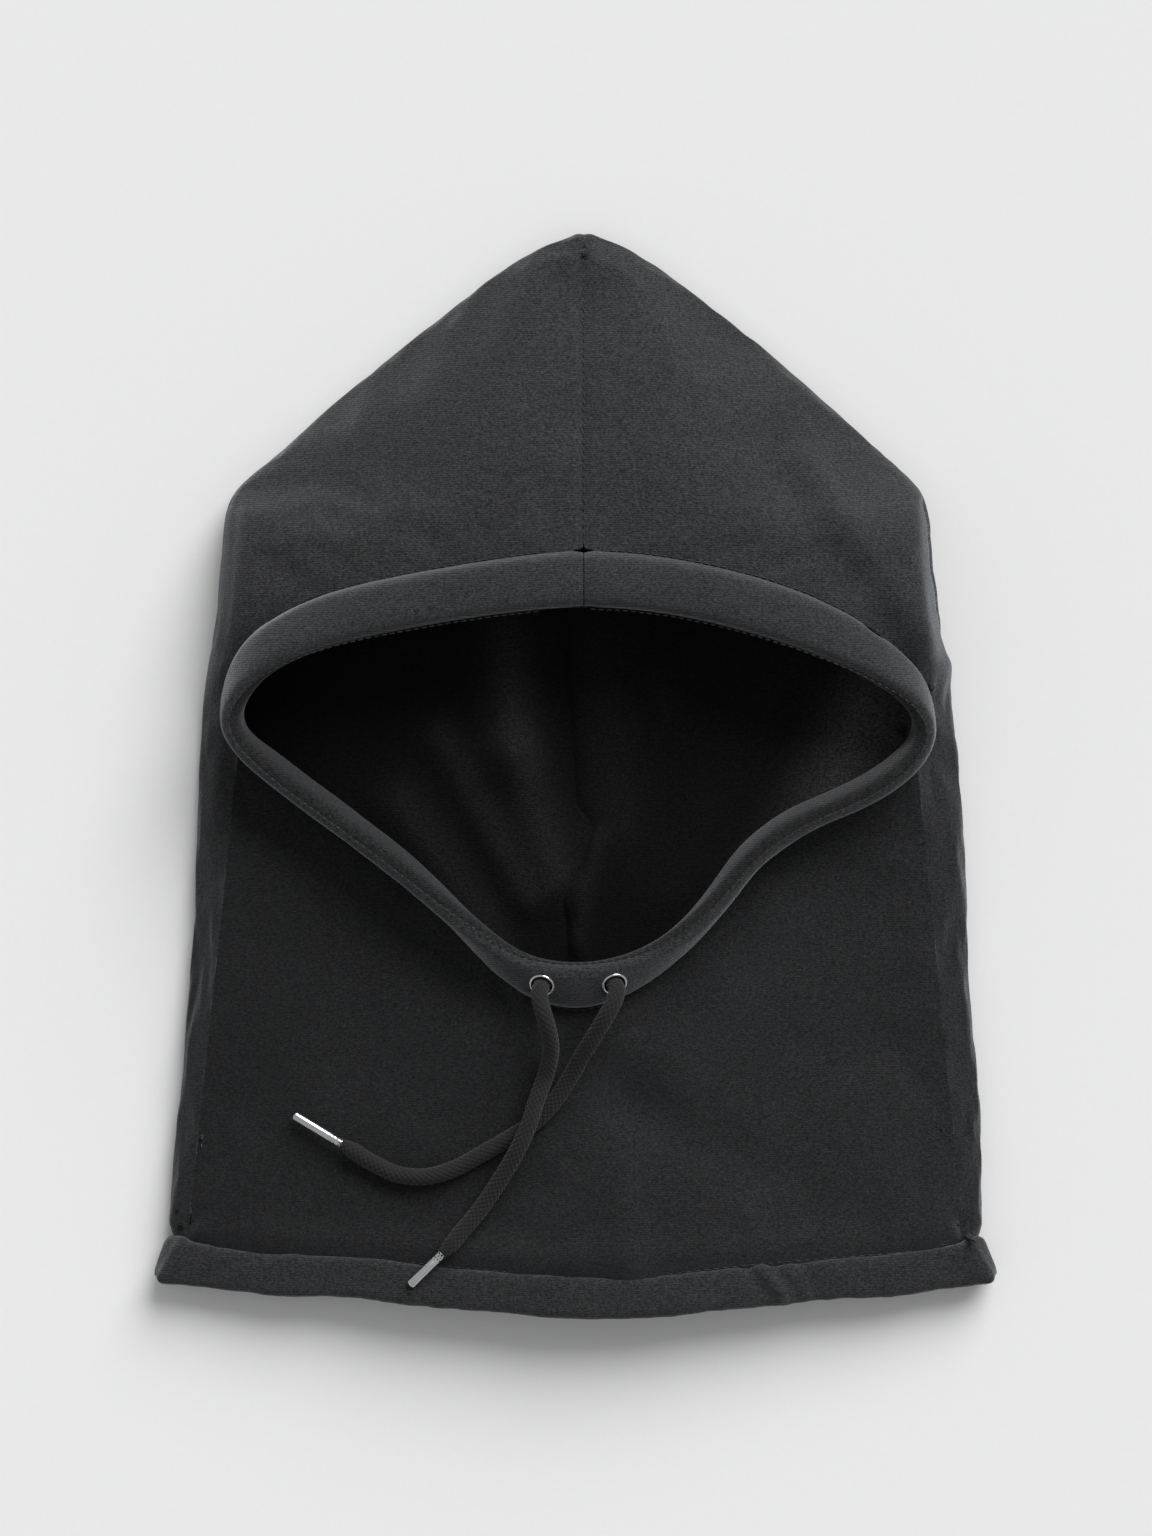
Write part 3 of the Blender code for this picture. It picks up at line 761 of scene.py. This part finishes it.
def tube_mesh(name, line, radii):
    """Closed tube; radii has one row per point of the line and one column per side."""
    rows, sides = radii.shape
    _, first, second = frames_along(line)
    angles = np.arange(sides) * 2 * np.pi / sides
    ring = first[:, None] * np.cos(angles)[None, :, None] + second[:, None] * np.sin(angles)[None, :, None]
    points = line[:, None] + ring * radii[:, :, None]
    points = np.vstack([points.reshape(-1, 3), line[:1], line[-1:]])
    faces = []
    for i in range(rows - 1):
        for j in range(sides):
            k = (j + 1) % sides
            faces.append((i * sides + j, i * sides + k, (i + 1) * sides + k, (i + 1) * sides + j))
    start, end, last = rows * sides, rows * sides + 1, (rows - 1) * sides
    for j in range(sides):
        k = (j + 1) % sides
        faces.append((start, k, j))
        faces.append((end, last + j, last + k))
    mesh = bpy.data.meshes.new(name)
    mesh.from_pydata(points.tolist(), [], faces)
    return mesh


def braid(rows, sides, step):
    """Height, 0 to 1, of a round braid over the tube's grid: two families of strands."""
    along = np.arange(rows)[:, None] * step / BRAID_CELL
    around = np.arange(sides)[None, :] / sides * BRAID_STRANDS
    one = around + along / 2
    other = around - along / 2
    over = (np.floor(one) + np.floor(other)) % 2
    ridge_one = np.sin(np.pi * (one % 1)) ** 0.6
    ridge_other = np.sin(np.pi * (other % 1)) ** 0.6
    long_one = np.sin(np.pi * (other % 1)) ** 0.35
    long_other = np.sin(np.pi * (one % 1)) ** 0.35
    return np.where(over > 0.5, ridge_one * long_one, ridge_other * long_other)


def braided_cord(name, line, look, taper=0.0, sides=CORD_SIDES):
    """Round braided cord; it narrows over its last stretch, where it enters its aglet."""
    step = line_length(line) / (len(line) - 1)
    height = braid(len(line), sides, step)
    base = np.full(len(line), CORD / 2)
    if taper:
        left = line_length(line) - np.arange(len(line)) * step
        share = np.clip(1 - left / taper, 0, 1)
        base = base - (CORD / 2 - AGLET_R * 0.86) * (share * share * (3 - 2 * share))
    radii = base[:, None] + (height - 0.62) * BRAID_DEPTH
    return new_piece(name, tube_mesh(name, line, radii), look)


# Each tail's route, from the mouth of its eyelet to its aglet, and the aglet's tip.
LEFT_TAIL = [(-0.0134, -0.0838, 0.0374), (-0.0136, -0.0843, 0.0381), (-0.0143, -0.0861, 0.0407),
             (-0.0139, -0.0906, 0.0434), (-0.0122, -0.0966, 0.0436), (-0.0104, -0.1036, 0.0402),
             (-0.0100, -0.1110, 0.0348), (-0.0120, -0.1200, 0.0306), (-0.0156, -0.1300, 0.0310),
             (-0.0190, -0.1405, 0.0328), (-0.0236, -0.1505, 0.0314), (-0.0305, -0.1625, 0.0272),
             (-0.0388, -0.1748, 0.0255), (-0.0460, -0.1834, 0.0258), (-0.0505, -0.1889, 0.0262),
             (-0.0530, -0.1914, 0.0264)]
RIGHT_TAIL = [(0.0155, -0.0834, 0.0373), (0.0157, -0.0838, 0.0380), (0.0164, -0.0857, 0.0406),
              (0.0152, -0.0900, 0.0433), (0.0120, -0.0960, 0.0436), (0.0078, -0.1032, 0.0402),
              (0.0032, -0.1110, 0.0342), (-0.0016, -0.1198, 0.0292), (-0.0076, -0.1295, 0.0267),
              (-0.0154, -0.1382, 0.0256), (-0.0250, -0.1446, 0.0248), (-0.0372, -0.1518, 0.0240),
              (-0.0492, -0.1582, 0.0236), (-0.0606, -0.1612, 0.0233), (-0.0716, -0.1602, 0.0227),
              (-0.0824, -0.1552, 0.0219), (-0.0908, -0.1500, 0.0213), (-0.0936, -0.1484, 0.0212)]
LEFT_AGLET_END = (-0.0666, -0.2046, 0.0252)
RIGHT_AGLET_END = (-0.1134, -0.1366, 0.0192)
# Each eyelet's middle on the casing's surface, and the way that it faces.
EYELETS = {"left": ((-0.01339, -0.08361, 0.03710), (-0.198, -0.565, 0.801)),
           "right": ((0.01545, -0.08314, 0.03703), (0.211, -0.573, 0.792))}


def turned_mesh(name, profile, centre, axis, sides=64):
    """A closed (radius, height) profile turned about the axis through the centre."""
    turn = Vector(axis).to_track_quat("Z", "Y").to_matrix().to_4x4()
    count = len(profile)
    points = []
    for j in range(sides):
        angle = 2 * math.pi * j / sides
        points += [(r * math.cos(angle), r * math.sin(angle), h) for r, h in profile]
    faces = []
    for j in range(sides):
        k = (j + 1) % sides
        for i in range(count):
            n = (i + 1) % count
            faces.append((j * count + i, k * count + i, k * count + n, j * count + n))
    mesh = bpy.data.meshes.new(name)
    mesh.from_pydata(points, [], faces)
    mesh.transform(Matrix.Translation(Vector(centre)) @ turn)
    return mesh


def outward_normals(mesh):
    made = bmesh.new()
    made.from_mesh(mesh)
    bmesh.ops.remove_doubles(made, verts=made.verts, dist=1e-7)
    bmesh.ops.recalc_face_normals(made, faces=made.faces)
    made.to_mesh(mesh)
    made.free()


def make_aglet(side, start, end, look):
    """Drawn metal tube with a rolled mouth, two crimp grooves and a rounded tip."""
    start, end = Vector(start), Vector(end)
    axis = (end - start).normalized()
    length = (end - start).length - 0.0003
    r = AGLET_R
    outside = [(r - AGLET_WALL, 0.0), (r - 0.00008, -0.0001), (r + 0.00005, 0.0002), (r, 0.0006)]
    for middle in (0.0030, 0.0046):
        outside += [(r, middle - 0.0005), (r - 0.00018, middle - 0.00015), (r - 0.00018, middle + 0.00015),
                    (r, middle + 0.0005)]
    tip = [(r * math.cos(t), length - r * 0.55 + r * 0.55 * math.sin(t)) for t in np.linspace(0, 1.35, 7)]
    bore = r - AGLET_WALL
    inside = [(0.0005, length - 0.0006), (bore - 0.0001, length - 0.0012), (bore, 0.0008)]
    name = f"aglet_{side}_tube"
    mesh = turned_mesh(name, outside + tip + inside, start + axis * 0.0003, axis)
    outward_normals(mesh)
    piece = new_piece(name, mesh, look)
    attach(piece, f"{side}_cord_end")
    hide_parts(f"aglet_{side}")
    return piece


def make_tail(side, route, tip, looks):
    aglet = make_aglet(side, route[-1], tip, looks["metal"])
    axis = (Vector(tip) - Vector(route[-1])).normalized()
    entered = [tuple(Vector(route[-1]) + axis * CORD_IN_AGLET)]
    line = smooth_line(list(route) + entered, CORD_STEP)
    tail = braided_cord(f"drawcord_{side}_tail", line, looks["cord"], taper=CORD_TAPER)
    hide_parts(f"drawcord_{side}_end")
    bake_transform(tail)


def make_hidden_cord(looks):
    line = evenly(centreline("drawcord_in_channel"), 0.001)
    piece = braided_cord("drawcord_inside", line, looks["cord"], sides=24)
    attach(piece, "hood")
    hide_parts("drawcord_in_channel")


def make_eyelet(side, look):
    """Rolled metal eyelet: a domed flange and a barrel through the casing."""
    centre, axis = EYELETS[side]
    hole, outer = EYELET_HOLE_R, EYELET_R
    dome = [(hole + (outer - hole) * (0.5 - 0.5 * math.cos(t)), DOME_FOOT + DOME_RISE * math.sin(t))
            for t in np.linspace(0, math.pi, 13)]
    barrel = [(outer - 0.0002, 0.0001), (hole + 0.0004, 0.0001), (hole + 0.0004, -EYELET_DEPTH),
              (hole, -EYELET_DEPTH)]
    name = f"eyelet_{side}_ring"
    mesh = turned_mesh(name, dome + barrel, centre, axis)
    outward_normals(mesh)
    piece = new_piece(name, mesh, look)
    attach(piece, "hood")
    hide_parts(f"eyelet_{side}")


# ---------------------------------------------------------------- fabric pieces

EYELET_PLACES = [EYELETS["left"][0], EYELETS["right"][0]]

# Soft ridges and dents: from and to in shares of the object's width and length, half width, height.
CROWN_FOLDS = [
    ((0.762, 0.784), (0.925, 0.600), 0.008, 0.0030),
    ((0.735, 0.790), (0.870, 0.640), 0.011, -0.0020),
    ((0.250, 0.700), (0.380, 0.620), 0.020, -0.0008),
    ((0.912, 0.745), (0.928, 0.610), 0.0035, -0.0014),
    ((0.098, 0.745), (0.088, 0.610), 0.0035, -0.0014),
    ((0.940, 0.565), (0.944, 0.525), 0.0120, 0.0016),
]
NECK_DENTS = [
    ((0.110, 0.460), (0.400, 0.285), 0.012, -0.0026),
    ((0.721, 0.368), (0.615, 0.245), 0.016, 0.0036),
    ((0.563, 0.190), (0.721, 0.135), 0.013, -0.0032),
    ((0.545, 0.135), (0.563, 0.053), 0.009, 0.0024),
    ((0.180, 0.180), (0.330, 0.145), 0.024, 0.0018),
    ((0.640, 0.300), (0.520, 0.180), 0.012, -0.0018),
    ((0.020, 0.079), (0.500, 0.055), 0.005, 0.0013),
    ((0.500, 0.055), (0.980, 0.079), 0.005, 0.0013),
]
HEM_CREASES = [
    ((0.700, 0.048), (0.725, 0.020), 0.0030, -0.0012),
    ((0.715, 0.050), (0.740, 0.020), 0.0030, 0.0010),
    ((0.730, 0.050), (0.757, 0.022), 0.0030, -0.0012),
    ((0.765, 0.052), (0.785, 0.024), 0.0035, -0.0008),
]
INSIDE_FOLDS = [
    ((0.415, 0.660), (0.425, 0.520), 0.012, 0.0090),
    ((0.425, 0.520), (0.475, 0.400), 0.011, 0.0075),
    ((0.530, 0.640), (0.545, 0.450), 0.016, 0.0030),
    ((0.523, 0.440), (0.500, 0.340), 0.004, 0.0030),
    ((0.340, 0.530), (0.440, 0.380), 0.008, 0.0050),
    ((0.290, 0.470), (0.400, 0.340), 0.010, 0.0050),
    ((0.593, 0.596), (0.612, 0.563), 0.005, 0.0018),
]
# The lining rises towards the right wall beyond this crease, in shares of the object.
WALL_CREASE_V = [0.330, 0.357, 0.437, 0.600, 0.680]
WALL_CREASE_U = [0.570, 0.604, 0.683, 0.788, 0.830]
WALL_RISE = 0.010
WALL_RUN = 0.030
# Only the back is shaped: the fabric below this height, fading out over this much.
BACK_TOP = 0.016
BACK_FADE = 0.006
BACK_SEAM_U = 0.51
BACK_SEAM_WIDTH = 0.035
# How far the lining's back seam wanders sideways at each height up the object.
BACK_SEAM_Y = [-0.190, -0.0696, -0.0516, -0.0348, -0.020, -0.0116, 0.0012, 0.062, 0.200]
BACK_SEAM_SHIFT = [0.0, -0.0068, -0.0080, -0.0004, 0.0036, -0.0028, -0.0036, -0.0080, 0.0]


def finish_panel(piece, node, thickness):
    thicken(piece, thickness)
    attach(piece, "hood")
    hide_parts(node)


def make_shells(looks):
    """The outer panels: two hood halves, the neck front and the casing, sewn to each other."""
    panels = {}
    for side, seed in (("left", 1), ("right", 2)):
        panels[side] = skin(f"hood_{side}_panel", f"hood_{side}_shell", looks["hood"], "larger")
        subdivide(panels[side], 2)
        relax(panels[side], 8)
        settle(panels[side], pressure=0.6, swell=0.004, cap=0.004)
        subdivide(panels[side], 1)
        sculpt(panels[side], CROWN_FOLDS)
        ripple(panels[side], 0.045, 0.0009, seed)
        ripple(panels[side], 0.014, 0.00025, seed + 2)
    neck = skin("neck_front_panel", "neck_front_shell", looks["neck"], "upper")
    subdivide(neck, 2)
    relax(neck, 6)
    settle(neck, pressure=0.3, swell=0.004, cap=0.003)
    subdivide(neck, 1)
    sculpt(neck, NECK_DENTS)
    ripple(neck, 0.050, 0.0012, 5)
    ripple(neck, 0.016, 0.00025, 6)
    casing = skin("face_casing", "face_casing_band", looks["casing"], "larger")
    subdivide(casing, 2)
    relax(casing, 3)
    ripple(casing, 0.022, 0.0006, 7)
    ripple(casing, 0.008, 0.00020, 8)
    facing = skin("face_facing", "face_facing_band", looks["facing"], "larger")
    subdivide(facing, 2)
    relax(facing, 3)
    ripple(facing, 0.022, 0.0005, 9)
    rules = {
        frozenset(("hood_left_shell", "hood_right_shell")): (0.0036, 0.0014, 1.0),
        frozenset(("hood_left_shell", "face_casing_band")): (0.0060, 0.0012, 1.0),
        frozenset(("hood_right_shell", "face_casing_band")): (0.0060, 0.0012, 1.0),
        frozenset(("neck_front_shell", "face_casing_band")): (0.0060, 0.0016, 1.0),
        frozenset(("neck_front_shell", "hood_left_shell")): (0.0080, 0.0001, 2.0),
        frozenset(("neck_front_shell", "hood_right_shell")): (0.0080, 0.0001, 2.0),
        frozenset(("face_casing_band", "face_facing_band")): (0.0040, 0.0010, 1.0),
        frozenset(("face_casing_band",)): (0.0030, 0.0012, 0.75),
        frozenset(("face_facing_band",)): (0.0040, 0.0008, 1.0),
    }
    close_seams([panels["left"], panels["right"], neck, casing, facing], rules, EYELET_PLACES)
    for half in panels.values():
        rest_on_floor(half)
    outside = surface_tree([panels["left"], panels["right"], neck])
    finish_panel(panels["left"], "hood_left_panel", SHELL)
    finish_panel(panels["right"], "hood_right_panel", SHELL)
    finish_panel(neck, "neck_front_panel", SHELL)
    finish_panel(casing, "face_casing", CASING)
    finish_panel(facing, "face_facing", FACING)
    return outside


def shape_back(half):
    """Let the lining's back seam wander, and raise the back towards the right wall."""
    coords = coords_of(half)
    back = np.clip((BACK_TOP - coords[:, 2]) / BACK_FADE, 0, 1)
    near = np.exp(-((coords[:, 0] - spot_u(BACK_SEAM_U)) / BACK_SEAM_WIDTH) ** 2)
    coords[:, 0] += np.interp(coords[:, 1], BACK_SEAM_Y, BACK_SEAM_SHIFT) * near * back
    crease = np.interp(coords[:, 1], spot_v(WALL_CREASE_V), spot_u(WALL_CREASE_U))
    share = np.clip((coords[:, 0] - crease) / WALL_RUN, 0, 1)
    coords[:, 2] += WALL_RISE * share ** 2 * (3 - 2 * share) * back
    set_coords(half, coords)


def make_linings(looks, outside):
    """The lining that shows through the face opening, and the one behind the neck front."""
    halves = []
    for side in ("left", "right"):
        half = skin(f"hood_{side}_lining", f"hood_{side}_liner", looks["lining"], "smaller")
        subdivide(half, 2)
        relax(half, 4, grow=0.5)
        subdivide(half, 1)
        shape_back(half)
        sculpt(half, INSIDE_FOLDS)
        ripple(half, 0.030, 0.0007, 12, lift=0.7)
        halves.append(half)
    close_seams(halves, {frozenset((halves[0].name, halves[1].name)): (0.004, 0.0014, 1.0)})
    for side, half in zip(("left", "right"), halves):
        keep_inside(half, outside, LINING_GAP)
        finish_panel(half, f"hood_{side}_lining", LINING)
    neck = skin("neck_front_lining", "neck_front_liner", looks["lining"], "lower")
    subdivide(neck, 2)
    keep_inside(neck, outside, LINING_GAP)
    finish_panel(neck, "neck_front_lining", LINING)


HEM_SPREAD = 0.0090      # how far the front band's ends are drawn out to meet the back band's
HEM_VOXEL = 0.0011
HEM_SWELL = 0.0008       # makes up for what the smoothing takes away


def make_hem(looks):
    """The hem: one folded band all round, from the CAD's front and back bands."""
    joined = bmesh.new()
    for end, spread in (("front", HEM_SPREAD), ("back", 0.0)):
        mesh = welded(f"hem_{end}_band")
        low = min(vertex.co.x for vertex in mesh.verts)
        high = max(vertex.co.x for vertex in mesh.verts)
        for vertex in mesh.verts:
            side = (vertex.co.x - (low + high) / 2) / ((high - low) / 2)
            vertex.co.x += spread * math.copysign(abs(side) ** 12, side)
        made = bpy.data.meshes.new("part")
        mesh.to_mesh(made)
        mesh.free()
        joined.from_mesh(made)
        bpy.data.meshes.remove(made)
    made = bpy.data.meshes.new("hem_fold")
    joined.to_mesh(made)
    joined.free()
    piece = new_piece("hem_fold", made, looks["hem"])
    remesh = piece.modifiers.new("one_band", "REMESH")
    remesh.mode = "VOXEL"
    remesh.voxel_size = HEM_VOXEL
    apply_modifiers(piece)
    relax(piece, 9, grow=0.5)
    set_coords(piece, coords_of(piece) + normals_of(piece) * HEM_SWELL)
    ripple(piece, 0.020, 0.0009, 10, hold=0)
    ripple(piece, 0.008, 0.00025, 11, hold=0)
    sculpt(piece, HEM_CREASES)
    rest_on_floor(piece)
    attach(piece, "hood")
    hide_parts("hem_front_band", "hem_back_band")


# ---------------------------------------------------------------- stitches

def stitch_row(name, node, look, length, gap):
    """A row of separate short stitches along a CAD thread's line."""
    line = evenly(centreline(node), (length + gap) / STITCH_POINTS)
    _, first, second = frames_along(line)
    points = []
    faces = []
    sides = STITCH_SIDES
    angles = np.arange(sides) * 2 * np.pi / sides
    take = max(3, round(STITCH_POINTS * length / (length + gap)))
    for start in range(0, len(line) - STITCH_POINTS, STITCH_POINTS):
        base = len(points)
        for k in range(take + 1):
            i = start + k
            swell = math.sin(math.pi * (0.08 + 0.84 * k / take))
            for angle in angles:
                spoke = first[i] * math.cos(angle) + second[i] * math.sin(angle)
                points.append(tuple(line[i] + spoke * THREAD_R * swell))
        for k in range(take):
            for j in range(sides):
                n = (j + 1) % sides
                a = base + k * sides
                faces.append((a + j, a + n, a + sides + n, a + sides + j))
        faces.append(tuple(base + j for j in reversed(range(sides))))
        faces.append(tuple(base + take * sides + j for j in range(sides)))
    mesh = bpy.data.meshes.new(name)
    mesh.from_pydata(points, [], faces)
    piece = new_piece(name, mesh, look)
    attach(piece, "hood")
    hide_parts(node)


def make_stitches(looks):
    stitch_row("casing_seam_stitches", "casing_stitching", looks["thread"], 0.0026, 0.0008)
    stitch_row("edge_seam_stitches", "edge_stitching", looks["thread"], 0.0024, 0.0008)
    stitch_row("crown_seam_stitches", "crown_stitching", looks["thread"], 0.0026, 0.0008)
    stitch_row("hem_seam_stitches", "hem_stitching", looks["thread"], 0.0028, 0.0009)


def make_looks():
    # Painted light: the hood's tone rises towards the top of the crown, where the light falls more.
    crown_painted_light = ("Y", -0.02, 0.07, 0.78, 1.37)
    # Painted shade: the neck front is darker towards its left, away from the light.
    neck_painted_shade = ("X", -0.12, 0.10, 0.66, 1.0)
    return {
        "cord": braid_look(),
        "metal": gunmetal_look(),
        "hood": fleece_look("fleece_hood", (0.0190, 0.0194, 0.0202), painted_shading=[crown_painted_light]),
        "neck": fleece_look("fleece_neck", (0.0150, 0.0154, 0.0161), painted_shading=[neck_painted_shade]),
        # Partly painted highlight: the casing's base colour is lighter than the hood's.
        "casing": fleece_look("fleece_casing", (0.0240, 0.0245, 0.0256), sheen=0.5),
        "hem": fleece_look("fleece_hem", (0.0205, 0.0210, 0.0218)),
        "facing": fleece_look("brushed_facing", (0.0140, 0.0143, 0.0148), sheen=0.2),
        # Painted shade: the lining is darker low down in the hood. Painted light: it is lighter on the
        # right wall.
        "lining": fleece_look("brushed_lining", (0.0052, 0.0052, 0.0054), sheen=0.03,
                              painted_shading=[("Z", 0.0040, 0.0150, 0.50, 2.4), ("X", 0.03, 0.11, 1.0, 2.8)]),
        "thread": thread_look(),
    }


def main():
    make_camera()
    looks = make_looks()
    make_tail("left", LEFT_TAIL, LEFT_AGLET_END, looks)
    make_tail("right", RIGHT_TAIL, RIGHT_AGLET_END, looks)
    make_hidden_cord(looks)
    for side in ("left", "right"):
        make_eyelet(side, looks["metal"])
    outside = make_shells(looks)
    make_linings(looks, outside)
    make_hem(looks)
    make_stitches(looks)
    make_studio()


main()
